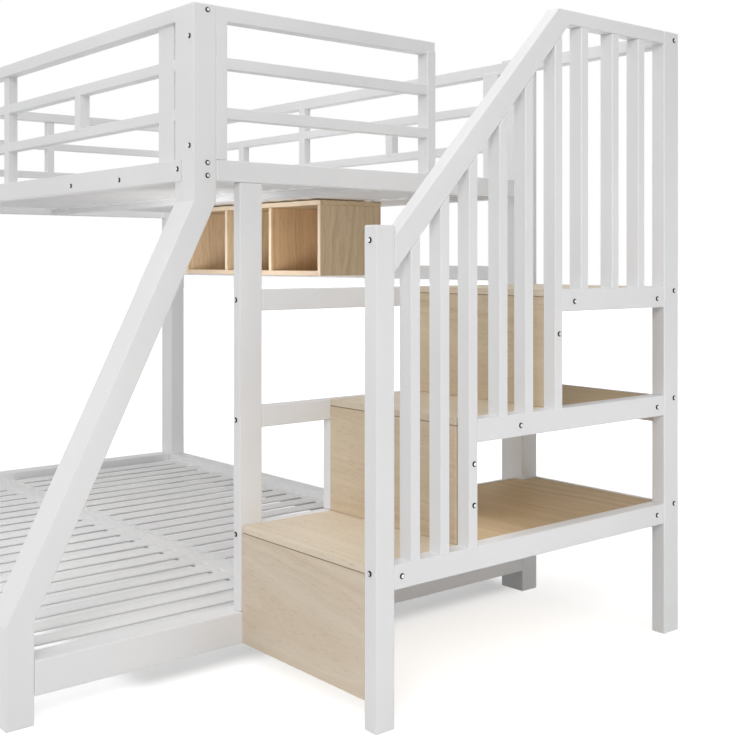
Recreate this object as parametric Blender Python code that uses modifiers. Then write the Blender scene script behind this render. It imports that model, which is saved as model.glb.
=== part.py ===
"""Metal bunk bed, a narrow bed over a wide one, with a storage stair at its right end and a shelf below the upper deck.

Metres, +Z up. The origin is on the floor, at the centre of the bed and stair together.
The bed's length runs along X with the stair at +X, and its open front faces -Y.
"""

import math

import bmesh
import bpy
from mathutils import Matrix, Vector

# Overall sizes
BED_LENGTH = 1.960
LOWER_BED_WIDTH = 1.435
UPPER_BED_WIDTH = 1.0415
BED_HEIGHT = 1.414
STAIR_WIDTH = 0.456

# Gap that two separate pieces keep where they touch, and the eased edges of tubes and boards
FIT = 0.0003
TUBE_EDGE = 0.0025
SMALL_EDGE = 0.0015
BOARD_EDGE = 0.0008
POINT_WELD = 0.00001
ROUND_SEGMENTS = 2

# How far a welded bar runs into the tube that it is welded to
WELD_DEPTH = 0.008

# Corner posts, and the two bends of a front leg, which slants from the wide bed up to the narrow one
POST_WIDTH = 0.078
POST_DEPTH = 0.055
LEG_LOWER_BEND = 0.195
LEG_UPPER_BEND_DROP = 0.043

# Rails of the lower bed
LOWER_RAIL_CLEARANCE = 0.0545
LOWER_RAIL_HEIGHT = 0.0675
LOWER_END_RAIL_THICKNESS = 0.059
LOWER_SIDE_RAIL_THICKNESS = 0.055

# Rails of the upper bed, and the plate by which the front one laps over its posts.
# The guard's height reaches from these rails to the top of the bed.
GUARD_HEIGHT = 0.3255
UPPER_RAIL_HEIGHT = 0.0455
UPPER_RAIL_THICKNESS = 0.030
LAP_LENGTH = 0.028
LAP_THICKNESS = 0.002

# Rail across the back, halfway up, behind the foot of the shelf
MIDDLE_RAIL_DROP = 0.0095
MIDDLE_RAIL_HEIGHT = 0.0395

# Decks: oval slats across the bed, in two rows that meet at a middle beam.
# A slat's oval is an ellipse at a fullness of 2, and squarer above that.
SLAT_PITCH = 0.083
SLAT_WIDTH = 0.056
SLAT_THICKNESS = 0.012
SLAT_FULLNESS = 2.1
SLAT_SIDES = 16
SLAT_START = 0.033
SLAT_DROP = 0.017
BEAM_WIDTH = 0.041
BEAM_HEIGHT = 0.025
BEAM_DROP = 0.0034
LEDGE_WIDTH = 0.025
LEDGE_THICKNESS = 0.0085
LEDGE_BITE = 0.0055

# Guards round the upper bed
GUARD_TOP_HEIGHT = 0.031
GUARD_TOP_THICKNESS = 0.032
GUARD_RAIL_HEIGHT = 0.0245
GUARD_RAIL_THICKNESS = 0.0245
GUARD_UPRIGHT = 0.0265
GUARD_BAR_WIDTH = 0.030
GUARD_SETBACK = 0.0085
FRONT_GUARD_END_WIDTH = 0.0654
FRONT_GUARD_END_GAP = 0.0222
BACK_GUARD_END_WIDTH = 0.0567
BACK_GUARD_END_GAP = 0.0357
# Tops of a guard's two thin rails, from the bed's rail to the top
GUARD_HIGH_RAIL_SHARE = 0.6704
GUARD_LOW_RAIL_SHARE = 0.3444
# Places along the bed, from its stair end, of a guard's short bars and of its full one
GUARD_SHORT_BAR_SHARES = (0.296, 0.721)
GUARD_FULL_BAR_SHARE = 0.529
# Gap in the stair end's guard where one steps onto the upper bed, and the upright beside it
ENTRY_WIDTH = 0.309
ENTRY_UPRIGHT_THICKNESS = 0.038

# Stair-end frame, in the plane of the bed's end
END_BAR_THICKNESS = 0.0265
END_UPRIGHT_WIDTH = 0.0567
END_UPRIGHT_START = 0.1126

# Stair: its front starts behind the upper bed's front face, and its landing lies below the upper rails.
# Its levels are the tops of treads and rails.
STAIR_START = 0.1187
FIRST_STEP_TOP = 0.3065
LANDING_DROP = 0.2295
STEPS = 3
FIRST_GOING = 0.2344
SECOND_GOING = 0.2554
STEP_RAIL_HEIGHT = 0.047
BOARD_THICKNESS = 0.0145

# Stair posts and side frame
FRONT_POST_WIDTH = 0.036
FRONT_POST_DEPTH = 0.0445
FRONT_POST_HEIGHT = 0.9415
BACK_POST_WIDTH = 0.036
BACK_POST_DEPTH = 0.0546
SIDE_FRAME_THICKNESS = 0.036
BALUSTER_THICKNESS = 0.035
BALUSTER_WIDTH = 0.0235
LOW_BALUSTERS = 3
LOW_BALUSTER_START = 0.0408
BALUSTER_PITCH = 0.0761
MIDDLE_BALUSTERS = 2
MIDDLE_BALUSTER_START = 0.0617
# Starts of the balusters beside the landing, from its front upright to the back post
HIGH_BALUSTER_SHARES = (0.171, 0.466, 0.728)
BACK_RAIL_THICKNESS = 0.034

# Handrail: a slanted tube that bends into a level one
HANDRAIL_THICKNESS = 0.0355
HANDRAIL_DEPTH = 0.0685
HANDRAIL_LEVEL_DEPTH = 0.030
HANDRAIL_START_DROP = 0.0202
HANDRAIL_BEND = 0.4560

# Storage boards below the landing and the second step, laid on lowered bars, each under a flat rim
STORAGE_SETBACK = 0.006
RIM_WIDTH = 0.009
RIM_THICKNESS = 0.002
RIM_DROP = 0.0065
STORAGE_BOARD_THICKNESS = 0.012

# Open shelf with three bays, on the back rails
SHELF_START = 0.6226
SHELF_WIDTH = 0.789
SHELF_DEPTH = 0.2297
SHELF_HEIGHT = 0.2242
SHELF_CLEARANCE = 0.0013
SHELF_BACK_THICKNESS = 0.005
SHELF_BAYS = 3

# Planes worked out from the sizes above
X_LEFT = -(BED_LENGTH + STAIR_WIDTH) / 2
X_END = X_LEFT + BED_LENGTH
X_STAIR = X_END + STAIR_WIDTH
Y_BACK = LOWER_BED_WIDTH / 2
Y_FRONT = -Y_BACK
Y_UPPER = Y_BACK - UPPER_BED_WIDTH
LOWER_RAIL_TOP = LOWER_RAIL_CLEARANCE + LOWER_RAIL_HEIGHT
UPPER_RAIL_TOP = BED_HEIGHT - GUARD_HEIGHT
UPPER_RAIL_BOTTOM = UPPER_RAIL_TOP - UPPER_RAIL_HEIGHT
LEG_UPPER_BEND = UPPER_RAIL_BOTTOM - LEG_UPPER_BEND_DROP
Y_STAIR = Y_UPPER + STAIR_START
Y_SECOND_RISER = Y_STAIR + FIRST_GOING
Y_THIRD_RISER = Y_SECOND_RISER + SECOND_GOING
X_SIDE_INNER = X_STAIR - SIDE_FRAME_THICKNESS
Y_BACK_RAIL = Y_BACK - BACK_RAIL_THICKNESS
LANDING_TOP = UPPER_RAIL_BOTTOM - LANDING_DROP
STEP_RISE = (LANDING_TOP - FIRST_STEP_TOP) / (STEPS - 1)
STEP_TOPS = [FIRST_STEP_TOP + STEP_RISE * level for level in range(STEPS)]
SLAT_UNDERSIDE = UPPER_RAIL_TOP - SLAT_DROP - SLAT_THICKNESS
SHELF_TOP = SLAT_UNDERSIDE + LEDGE_BITE - LEDGE_THICKNESS - SHELF_CLEARANCE
SHELF_BOTTOM = SHELF_TOP - SHELF_HEIGHT
MIDDLE_RAIL_BOTTOM = SHELF_BOTTOM - MIDDLE_RAIL_DROP


def srgb(code):
    """Linear colour of a hex code."""
    parts = [int(code[i : i + 2], 16) / 255 for i in (1, 3, 5)]
    linear = [c / 12.92 if c <= 0.04045 else ((c + 0.055) / 1.055) ** 2.4 for c in parts]
    return (*linear, 1.0)


def make_material(name, code, roughness, metallic=0.0):
    material = bpy.data.materials.new(name)
    material.use_nodes = True
    shader = material.node_tree.nodes["Principled BSDF"]
    shader.inputs["Base Color"].default_value = srgb(code)
    shader.inputs["Roughness"].default_value = roughness
    shader.inputs["Metallic"].default_value = metallic
    material.diffuse_color = srgb(code)
    return material


def make_collection(name):
    made = bpy.data.collections.new(name)
    bpy.context.scene.collection.children.link(made)
    return made


def make_group(name):
    """An empty that carries the pieces of one sub-assembly."""
    empty = bpy.data.objects.new(name, None)
    parts.objects.link(empty)
    return empty


def make_object(name, mesh, material, group, location, rotation=(0, 0, 0)):
    obj = bpy.data.objects.new(name, mesh)
    obj.data.materials.append(material)
    obj.location = location
    obj.rotation_euler = rotation
    obj.parent = group
    parts.objects.link(obj)
    return obj


def ease_edges(obj, width, segments=1):
    bevel = obj.modifiers.new("eased_edges", "BEVEL")
    bevel.width = width
    bevel.segments = segments
    bevel.limit_method = "ANGLE"
    bevel.angle_limit = math.radians(30)
    return obj


def middle(span):
    return (span[0] + span[1]) / 2


def bar(name, x, y, z, material, group, edge=TUBE_EDGE, segments=ROUND_SEGMENTS):
    """A straight tube between the low and high limits given for each axis."""
    size = (x[1] - x[0], y[1] - y[0], z[1] - z[0])
    shape = bmesh.new()
    bmesh.ops.create_cube(shape, size=1.0, matrix=Matrix.Diagonal((*size, 1)))
    mesh = bpy.data.meshes.new(name)
    shape.to_mesh(mesh)
    shape.free()
    obj = make_object(name, mesh, material, group, (middle(x), middle(y), middle(z)))
    return ease_edges(obj, edge, segments)


def board(name, x, y, z, material, group):
    """A wooden board, as bar, with crisp edges."""
    return bar(name, x, y, z, material, group, BOARD_EDGE, 1)


def add_bar(shape, x, y, z, edge=SMALL_EDGE, top_slope=0):
    """Adds one bar of a welded frame to a mesh. A top slope tilts its upper end along Y."""
    size = (x[1] - x[0], y[1] - y[0], z[1] - z[0])
    centre = Vector((middle(x), middle(y), middle(z)))
    place = Matrix.Translation(centre) @ Matrix.Diagonal((*size, 1))
    corners = bmesh.ops.create_cube(shape, size=1.0, matrix=place)["verts"]
    for corner in corners:
        if corner.co.z > centre.z:
            corner.co.z += top_slope * (corner.co.y - centre.y)
    edges = list({edge for corner in corners for edge in corner.link_edges})
    bmesh.ops.bevel(shape, geom=edges, offset=edge, segments=1, affect="EDGES")


def mesh_of_bars(name, bars, origin):
    """One mesh of several bars that don't meet each other, about the given origin."""
    shape = bmesh.new()
    for spec in bars:
        add_bar(shape, **spec)
    bmesh.ops.translate(shape, verts=shape.verts, vec=-Vector(origin))
    mesh = bpy.data.meshes.new(name)
    shape.to_mesh(mesh)
    shape.free()
    return mesh


def welded(name, uprights, rails, material, group, origin):
    """A welded frame: uprights that don't meet each other, joined with the rails that cross them."""
    frame = make_object(name, mesh_of_bars(name, uprights, origin), material, group, origin)
    joined = bpy.data.objects.new(name + "_rails", mesh_of_bars(name + "_rails", rails, origin))
    joined.location = origin
    joined.hide_render = True
    joined.display_type = "WIRE"
    helpers.objects.link(joined)
    union = frame.modifiers.new("weld", "BOOLEAN")
    union.operation = "UNION"
    union.solver = "EXACT"
    union.object = joined
    return frame


def flat_outline(name, outlines, depth):
    """Mesh of a flat shape, extruded by its depth: the first outline is its edge, the others are holes."""
    curve = bpy.data.curves.new(name, "CURVE")
    curve.dimensions = "2D"
    curve.fill_mode = "BOTH"
    curve.extrude = depth / 2
    for points in outlines:
        spline = curve.splines.new("POLY")
        spline.points.add(len(points) - 1)
        for target, (across, up) in zip(spline.points, points):
            target.co = (across, up, 0, 1)
        spline.use_cyclic_u = True
    source = bpy.data.objects.new(name + "_outline", curve)
    helpers.objects.link(source)
    bpy.context.view_layer.update()
    graph = bpy.context.evaluated_depsgraph_get()
    mesh = bpy.data.meshes.new_from_object(source.evaluated_get(graph))
    mesh.name = name
    bpy.data.objects.remove(source)
    shape = bmesh.new()
    shape.from_mesh(mesh)
    bmesh.ops.remove_doubles(shape, verts=shape.verts, dist=POINT_WELD)
    bmesh.ops.recalc_face_normals(shape, faces=shape.faces)
    for face in shape.faces:
        face.smooth = False
    if len(outlines) == 1:
        bmesh.ops.dissolve_limit(
            shape, angle_limit=math.radians(1), verts=shape.verts, edges=shape.edges
        )
    shape.to_mesh(mesh)
    shape.free()
    mesh.materials.clear()
    return mesh


def side_outline(name, points, x, material, group):
    """A tube bent in the plane across the bed: points are (y, z), and x holds its low and high side."""
    mesh = flat_outline(name, [points], x[1] - x[0])
    turned = (math.pi / 2, 0, math.pi / 2)
    tube = make_object(name, mesh, material, group, (middle(x), 0, 0), turned)
    return ease_edges(tube, TUBE_EDGE, ROUND_SEGMENTS)


def both_ends():
    """For each end of the bed: its name, its outer plane and the direction inwards."""
    return (("right", X_END, -1), ("left", X_LEFT, 1))


def inwards(plane, sign, start, end):
    """Low and high limits of what lies between two distances inwards from a plane."""
    return tuple(sorted((plane + sign * start, plane + sign * end)))


def between_posts():
    return (X_LEFT + POST_WIDTH + FIT, X_END - POST_WIDTH - FIT)


def make_posts(group):
    bends = (
        (Y_FRONT, 0),
        (Y_FRONT + POST_DEPTH, 0),
        (Y_FRONT + POST_DEPTH, LEG_LOWER_BEND),
        (Y_UPPER + POST_DEPTH, LEG_UPPER_BEND),
        (Y_UPPER + POST_DEPTH, BED_HEIGHT),
        (Y_UPPER, BED_HEIGHT),
        (Y_UPPER, LEG_UPPER_BEND),
        (Y_FRONT, LEG_LOWER_BEND),
    )
    for side, plane, sign in both_ends():
        x = inwards(plane, sign, 0, POST_WIDTH)
        side_outline(f"front_leg_{side}", bends, x, frame_white, group)
        bar(f"back_post_{side}", x, (Y_BACK - POST_DEPTH, Y_BACK), (0, BED_HEIGHT), frame_white, group)


def make_lower_rails(group):
    z = (LOWER_RAIL_CLEARANCE, LOWER_RAIL_TOP)
    y_ends = (Y_FRONT + POST_DEPTH + FIT, Y_BACK - POST_DEPTH - FIT)
    for side, plane, sign in both_ends():
        x = inwards(plane, sign, 0, LOWER_END_RAIL_THICKNESS)
        bar(f"lower_end_rail_{side}", x, y_ends, z, frame_white, group)
    for side, plane, sign in (("front", Y_FRONT, 1), ("back", Y_BACK, -1)):
        y = inwards(plane, sign, 0, LOWER_SIDE_RAIL_THICKNESS)
        bar(f"lower_side_rail_{side}", between_posts(), y, z, frame_white, group)


def make_upper_rails(group):
    z = (UPPER_RAIL_BOTTOM, UPPER_RAIL_TOP)
    y_ends = (Y_UPPER + POST_DEPTH + FIT, Y_BACK - POST_DEPTH - FIT)
    for side, plane, sign in both_ends():
        x = inwards(plane, sign, 0, UPPER_RAIL_THICKNESS)
        bar(f"upper_end_rail_{side}", x, y_ends, z, frame_white, group)
    y_back = (Y_BACK - UPPER_RAIL_THICKNESS, Y_BACK)
    bar("upper_side_rail_back", between_posts(), y_back, z, frame_white, group)
    z_middle = (MIDDLE_RAIL_BOTTOM, MIDDLE_RAIL_BOTTOM + MIDDLE_RAIL_HEIGHT)
    bar("middle_back_rail", between_posts(), y_back, z_middle, frame_white, group)
    make_lapped_rail(group)


def make_lapped_rail(group):
    """The upper front rail: each end has a plate that laps over the post's front face."""
    left, right = between_posts()
    face = Y_UPPER - FIT - LAP_THICKNESS
    inner_face = face + UPPER_RAIL_THICKNESS
    plate_back = face + LAP_THICKNESS
    points = (
        (left - LAP_LENGTH, face),
        (right + LAP_LENGTH, face),
        (right + LAP_LENGTH, plate_back),
        (right, plate_back),
        (right, inner_face),
        (left, inner_face),
        (left, plate_back),
        (left - LAP_LENGTH, plate_back),
    )
    mesh = flat_outline("upper_side_rail_front", [points], UPPER_RAIL_HEIGHT)
    height = UPPER_RAIL_BOTTOM + UPPER_RAIL_HEIGHT / 2
    rail = make_object("upper_side_rail_front", mesh, frame_white, group, (0, 0, height))
    ease_edges(rail, BOARD_EDGE)


def oval_share(part):
    """How far the oval reaches for a sine or cosine of the angle round it, as a share of its half width."""
    return math.copysign(abs(part) ** (2 / SLAT_FULLNESS), part)


def add_slat(shape, x, y, z):
    """Adds one oval slat to a mesh, centred at x and z and between the limits given for y."""
    rings = []
    for end in y:
        ring = []
        for index in range(SLAT_SIDES):
            angle = math.tau * index / SLAT_SIDES
            across = oval_share(math.cos(angle)) * SLAT_WIDTH / 2
            up = oval_share(math.sin(angle)) * SLAT_THICKNESS / 2
            ring.append(shape.verts.new((x + across, end, z + up)))
        rings.append(ring)
    near, far = rings
    shape.faces.new(near)
    shape.faces.new(reversed(far))
    for index in range(SLAT_SIDES):
        after = (index + 1) % SLAT_SIDES
        shape.faces.new((near[after], near[index], far[index], far[after]))


def slat_row(name, x_limits, y, slat_top, ledges_at, group):
    """One row of slats across the bed, with the two ledges below their ends, as one welded panel."""
    origin = (middle(x_limits), middle(y), slat_top - SLAT_THICKNESS)
    shape = bmesh.new()
    count = int((x_limits[1] - x_limits[0] - SLAT_START - SLAT_WIDTH / 2) / SLAT_PITCH) + 1
    for index in range(count):
        x = x_limits[1] - SLAT_START - index * SLAT_PITCH
        add_slat(shape, x, y, slat_top - SLAT_THICKNESS / 2)
    bmesh.ops.recalc_face_normals(shape, faces=shape.faces)
    bmesh.ops.translate(shape, verts=shape.verts, vec=-Vector(origin))
    mesh = bpy.data.meshes.new(name)
    shape.to_mesh(mesh)
    shape.free()
    panel = make_object(name, mesh, slat_white, group, origin)
    ledge_top = slat_top - SLAT_THICKNESS + LEDGE_BITE
    ledge_z = (ledge_top - LEDGE_THICKNESS, ledge_top)
    ledges = [{"x": x_limits, "y": span, "z": ledge_z, "edge": BOARD_EDGE} for span in ledges_at]
    joined = bpy.data.objects.new(name + "_ledges", mesh_of_bars(name + "_ledges", ledges, origin))
    joined.location = origin
    joined.hide_render = True
    joined.display_type = "WIRE"
    helpers.objects.link(joined)
    union = panel.modifiers.new("weld", "BOOLEAN")
    union.operation = "UNION"
    union.solver = "EXACT"
    union.object = joined


def make_deck(level, x_limits, y_limits, rail_top, group):
    """A middle beam along the bed and a row of slats on each side of it."""
    slat_top = rail_top - SLAT_DROP
    y_beam = (middle(y_limits) - BEAM_WIDTH / 2, middle(y_limits) + BEAM_WIDTH / 2)
    z_beam = (slat_top - BEAM_DROP - BEAM_HEIGHT, slat_top - BEAM_DROP)
    bar(f"{level}_deck_beam", x_limits, y_beam, z_beam, slat_white, group)
    for side, low, high in (
        ("front", y_limits[0] + FIT, y_beam[0] - FIT),
        ("back", y_beam[1] + FIT, y_limits[1] - FIT),
    ):
        ledges = ((low, low + LEDGE_WIDTH), (high - LEDGE_WIDTH, high))
        slat_row(f"{level}_slats_{side}", x_limits, (low, high), slat_top, ledges, group)


def make_decks(group):
    lower_x = (
        X_LEFT + LOWER_END_RAIL_THICKNESS + FIT,
        X_END - LOWER_END_RAIL_THICKNESS - FIT,
    )
    lower_y = (Y_FRONT + LOWER_SIDE_RAIL_THICKNESS, Y_BACK - LOWER_SIDE_RAIL_THICKNESS)
    make_deck("lower", lower_x, lower_y, LOWER_RAIL_TOP, group)
    upper_y = (
        Y_UPPER - FIT - LAP_THICKNESS + UPPER_RAIL_THICKNESS,
        Y_BACK - UPPER_RAIL_THICKNESS,
    )
    make_deck("upper", between_posts(), upper_y, UPPER_RAIL_TOP, group)


def guard_heights():
    """Heights of a guard's two thin rails, its top rail, its full uprights and its short bars."""
    high_top = UPPER_RAIL_TOP + GUARD_HIGH_RAIL_SHARE * GUARD_HEIGHT
    low_top = UPPER_RAIL_TOP + GUARD_LOW_RAIL_SHARE * GUARD_HEIGHT
    high = (high_top - GUARD_RAIL_HEIGHT, high_top)
    low = (low_top - GUARD_RAIL_HEIGHT, low_top)
    top = (BED_HEIGHT - GUARD_TOP_HEIGHT, BED_HEIGHT)
    full = (UPPER_RAIL_TOP + FIT, top[0] + WELD_DEPTH)
    short = (low[1] - WELD_DEPTH, high[0] + WELD_DEPTH)
    return high, low, top, full, short


def side_guard(name, plane, sign, end_gap, end_width, group):
    """The guard along one long side of the upper bed, from post to post."""
    high, low, top, full, short = guard_heights()
    y_top = inwards(plane, sign, 0, GUARD_TOP_THICKNESS)
    y_upright = inwards(plane, sign, GUARD_SETBACK, GUARD_SETBACK + GUARD_UPRIGHT)
    slack = (GUARD_UPRIGHT - GUARD_RAIL_THICKNESS) / 2
    y_rail = (y_upright[0] + slack, y_upright[1] - slack)
    length = between_posts()
    uprights = []
    for post_face, direction in ((length[1] + FIT, -1), (length[0] - FIT, 1)):
        x = inwards(post_face, direction, end_gap, end_gap + end_width)
        uprights.append({"x": x, "y": y_upright, "z": full})
    places = [(GUARD_FULL_BAR_SHARE, full)] + [(share, short) for share in GUARD_SHORT_BAR_SHARES]
    for share, z in places:
        centre = X_END - share * BED_LENGTH
        x = (centre - GUARD_BAR_WIDTH / 2, centre + GUARD_BAR_WIDTH / 2)
        uprights.append({"x": x, "y": y_upright, "z": z})
    rails = [{"x": length, "y": y_top, "z": top}]
    rails += [{"x": length, "y": y_rail, "z": z} for z in (high, low)]
    return welded(name, uprights, rails, frame_white, group, (middle(length), plane, BED_HEIGHT))


def end_guard(name, plane, sign, uprights_y, y_end, upright_depths, group):
    """The guard across one end of the upper bed, from its front leg to the given end."""
    high, low, top, full, _ = guard_heights()
    start = Y_UPPER + POST_DEPTH + FIT
    uprights = [
        {"x": inwards(plane, sign, 0, depth), "y": y, "z": full}
        for y, depth in zip(uprights_y, upright_depths)
    ]
    slack = (GUARD_UPRIGHT - GUARD_RAIL_THICKNESS) / 2
    x_rail = inwards(plane, sign, slack, slack + GUARD_RAIL_THICKNESS)
    x_top = inwards(plane, sign, slack, GUARD_TOP_THICKNESS)
    rails = [{"x": x_top, "y": (start, y_end), "z": top}]
    rails += [{"x": x_rail, "y": (start, y_end - slack), "z": z} for z in (high, low)]
    return welded(name, uprights, rails, frame_white, group, (plane, start, BED_HEIGHT))


def make_guards(group):
    side_guard("front_guard", Y_UPPER, 1, FRONT_GUARD_END_GAP, FRONT_GUARD_END_WIDTH, group)
    side_guard("back_guard", Y_BACK, -1, BACK_GUARD_END_GAP, BACK_GUARD_END_WIDTH, group)
    start = Y_UPPER + POST_DEPTH + FIT
    first = (start, start + GUARD_UPRIGHT)
    entry = Y_BACK - POST_DEPTH - ENTRY_WIDTH
    beside_entry = (entry - GUARD_UPRIGHT, entry)
    depths = (GUARD_UPRIGHT, ENTRY_UPRIGHT_THICKNESS)
    uprights = (first, beside_entry)
    y_end = entry - SMALL_EDGE
    end_guard("end_guard_right", X_END, -1, uprights, y_end, depths, group)
    far = Y_BACK - POST_DEPTH - FIT
    centre = (start + far) / 2
    middle_upright = (centre - GUARD_UPRIGHT / 2, centre + GUARD_UPRIGHT / 2)
    end_guard("end_guard_left", X_LEFT, 1, (middle_upright,), far, (GUARD_UPRIGHT,), group)


def storage_levels():
    """For each storage board: its name, the riser in front of it and the step top beside it."""
    return (("low", Y_SECOND_RISER, STEP_TOPS[0]), ("middle", Y_THIRD_RISER, STEP_TOPS[1]))


def storage_seat(step_top):
    """Height of the bars that a storage board lies on."""
    return step_top - RIM_DROP - RIM_THICKNESS - STORAGE_BOARD_THICKNESS - 2 * FIT


def make_end_frame(group):
    """The upright and bars at the bed's stair end, and a short upright beside each of the upper risers."""
    x = (X_END - END_BAR_THICKNESS, X_END)
    y_start = Y_UPPER + END_UPRIGHT_START
    y_upright = (y_start, y_start + END_UPRIGHT_WIDTH)
    z_upright = (LOWER_RAIL_TOP + FIT, UPPER_RAIL_BOTTOM - FIT)
    bar("end_upright", x, y_upright, z_upright, frame_white, group)
    y_bar = (y_upright[1] + FIT, Y_BACK - POST_DEPTH - FIT)
    z_high = (STEP_TOPS[-1] - STEP_RAIL_HEIGHT, STEP_TOPS[-1])
    bar("end_bar_high", x, y_bar, z_high, frame_white, group)
    for level, riser, top in storage_levels():
        bottom = top - STEP_RAIL_HEIGHT
        # The rounding in the notch's corner keeps clear of the board.
        y_notch = riser + BOARD_THICKNESS - TUBE_EDGE
        points = (
            (y_bar[0], bottom),
            (y_bar[1], bottom),
            (y_bar[1], storage_seat(top)),
            (y_notch, storage_seat(top)),
            (y_notch, top),
            (y_bar[0], top),
        )
        side_outline(f"end_bar_{level}", points, x, frame_white, group)
    for name, riser, below, above in (
        ("low", Y_SECOND_RISER, STEP_TOPS[0], STEP_TOPS[1]),
        ("high", Y_THIRD_RISER, STEP_TOPS[1], STEP_TOPS[2]),
    ):
        y = (riser, riser + BOARD_THICKNESS)
        z = (below + FIT, above - STEP_RAIL_HEIGHT - FIT)
        bar(f"riser_upright_{name}", x, y, z, frame_white, group)


def make_stair_posts(group):
    x_front = (X_STAIR - FRONT_POST_WIDTH, X_STAIR)
    y_front = (Y_STAIR, Y_STAIR + FRONT_POST_DEPTH)
    bar("stair_front_post", x_front, y_front, (0, FRONT_POST_HEIGHT), frame_white, group)
    x_back = (X_STAIR - BACK_POST_WIDTH, X_STAIR)
    y_back = (Y_BACK - BACK_POST_DEPTH, Y_BACK)
    bar("stair_back_post", x_back, y_back, (0, BED_HEIGHT), frame_white, group)


def handrail_limits():
    """Where the handrail starts and ends along Y, and its rise for each unit of going."""
    start = Y_STAIR + FRONT_POST_DEPTH + FIT
    end = Y_BACK - BACK_POST_DEPTH - FIT
    rise = BED_HEIGHT - (FRONT_POST_HEIGHT - HANDRAIL_START_DROP)
    return start, end, rise / HANDRAIL_BEND


def handrail_underside(y):
    """Height of the handrail's underside above a place along the stair."""
    start, _, slope = handrail_limits()
    slanted = FRONT_POST_HEIGHT - HANDRAIL_START_DROP + slope * (y - start) - HANDRAIL_DEPTH
    return min(slanted, BED_HEIGHT - HANDRAIL_LEVEL_DEPTH)


def make_handrail(group):
    start, end, slope = handrail_limits()
    foot = FRONT_POST_HEIGHT - HANDRAIL_START_DROP
    level = BED_HEIGHT - HANDRAIL_LEVEL_DEPTH
    inner_bend = start + (level - foot + HANDRAIL_DEPTH) / slope
    points = (
        (start, foot - HANDRAIL_DEPTH),
        (inner_bend, level),
        (end, level),
        (end, BED_HEIGHT),
        (start + HANDRAIL_BEND, BED_HEIGHT),
        (start, foot),
    )
    slack = (SIDE_FRAME_THICKNESS - HANDRAIL_THICKNESS) / 2
    x = (X_STAIR - slack - HANDRAIL_THICKNESS, X_STAIR - slack)
    side_outline("stair_handrail", points, x, frame_white, group)


def baluster(x, y_start, z_bottom):
    """One upright bar below the handrail, its top cut to the handrail's slope."""
    y = (y_start, y_start + BALUSTER_WIDTH)
    start, _, slope = handrail_limits()
    level = handrail_underside(y[0]) == handrail_underside(y[1])
    tilt = 0 if level else slope
    gap = FIT * math.hypot(1, tilt)
    top = min(handrail_underside(middle(y)), handrail_underside(y[1]) - tilt * BALUSTER_WIDTH / 2)
    return {"x": x, "y": y, "z": (z_bottom, top - gap), "top_slope": tilt}


def make_side_frame(group):
    """Three welded combs of rail and balusters, one for each step's level."""
    x_rail = (X_STAIR - SIDE_FRAME_THICKNESS, X_STAIR)
    slack = (SIDE_FRAME_THICKNESS - BALUSTER_THICKNESS) / 2
    x_bar = (x_rail[0] + slack, x_rail[1] - slack)
    post_back = Y_STAIR + FRONT_POST_DEPTH
    y_end = Y_BACK - BACK_POST_DEPTH - FIT
    low = [post_back + LOW_BALUSTER_START + BALUSTER_PITCH * i for i in range(LOW_BALUSTERS)]
    middle_start = low[-1] + BALUSTER_WIDTH + FIT
    first = middle_start + MIDDLE_BALUSTER_START
    middle_bars = [first + BALUSTER_PITCH * i for i in range(MIDDLE_BALUSTERS)]
    high_start = Y_THIRD_RISER + BALUSTER_WIDTH + FIT
    high_bars = [high_start + share * (y_end - high_start) for share in HIGH_BALUSTER_SHARES]
    combs = (
        ("low", post_back + FIT, low),
        ("middle", middle_start, middle_bars + [Y_THIRD_RISER]),
        ("high", high_start, high_bars),
    )
    for (level, y_start, bars), top in zip(combs, STEP_TOPS):
        rail = {"x": x_rail, "y": (y_start, y_end), "z": (top - STEP_RAIL_HEIGHT, top)}
        uprights = [baluster(x_bar, y, top - WELD_DEPTH) for y in bars]
        origin = (X_STAIR, y_start, top)
        welded(f"stair_side_{level}", uprights, [rail], frame_white, group, origin)


def make_stair_back(group):
    """Rails across the back of the stair, from the bed's corner post to the stair's own."""
    x = (X_END + FIT, X_STAIR - BACK_POST_WIDTH - FIT)
    seats = [storage_seat(top) for _, _, top in storage_levels()]
    for level, top in zip(("low", "middle", "high"), (*seats, STEP_TOPS[-1])):
        z = (top - STEP_RAIL_HEIGHT, top)
        bar(f"stair_back_rail_{level}", x, (Y_BACK_RAIL, Y_BACK), z, frame_white, group)
    y_top = (Y_BACK - GUARD_TOP_THICKNESS, Y_BACK)
    z_top = (BED_HEIGHT - GUARD_TOP_HEIGHT, BED_HEIGHT)
    bar("stair_back_rail_top", x, y_top, z_top, frame_white, group)


def make_steps(group):
    """Treads and risers. A riser stands on the tread below it and carries the front edge of the next."""
    x_first = (X_END + FIT, X_STAIR - FRONT_POST_WIDTH - FIT)
    x = (X_END + FIT, X_SIDE_INNER - FIT)
    y_land_end = Y_BACK_RAIL - FIT
    treads = (
        ("tread_first", x_first, Y_STAIR, Y_SECOND_RISER + BOARD_THICKNESS),
        ("tread_second", x, Y_SECOND_RISER, Y_THIRD_RISER + BOARD_THICKNESS),
        ("landing", x, Y_THIRD_RISER, y_land_end),
    )
    for (name, span, y_low, y_high), top in zip(treads, STEP_TOPS):
        z = (top - BOARD_THICKNESS, top)
        board(name, span, (y_low, y_high), z, stair_oak, group)
    risers = (
        ("riser_first", x_first, Y_STAIR, LOWER_RAIL_CLEARANCE),
        ("riser_second", x, Y_SECOND_RISER, STEP_TOPS[0] + FIT),
        ("riser_third", x, Y_THIRD_RISER, STEP_TOPS[1] + FIT),
    )
    for (name, span, y_low, z_low), top in zip(risers, STEP_TOPS):
        z = (z_low, top - BOARD_THICKNESS - FIT)
        board(name, span, (y_low, y_low + BOARD_THICKNESS), z, stair_oak, group)


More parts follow.
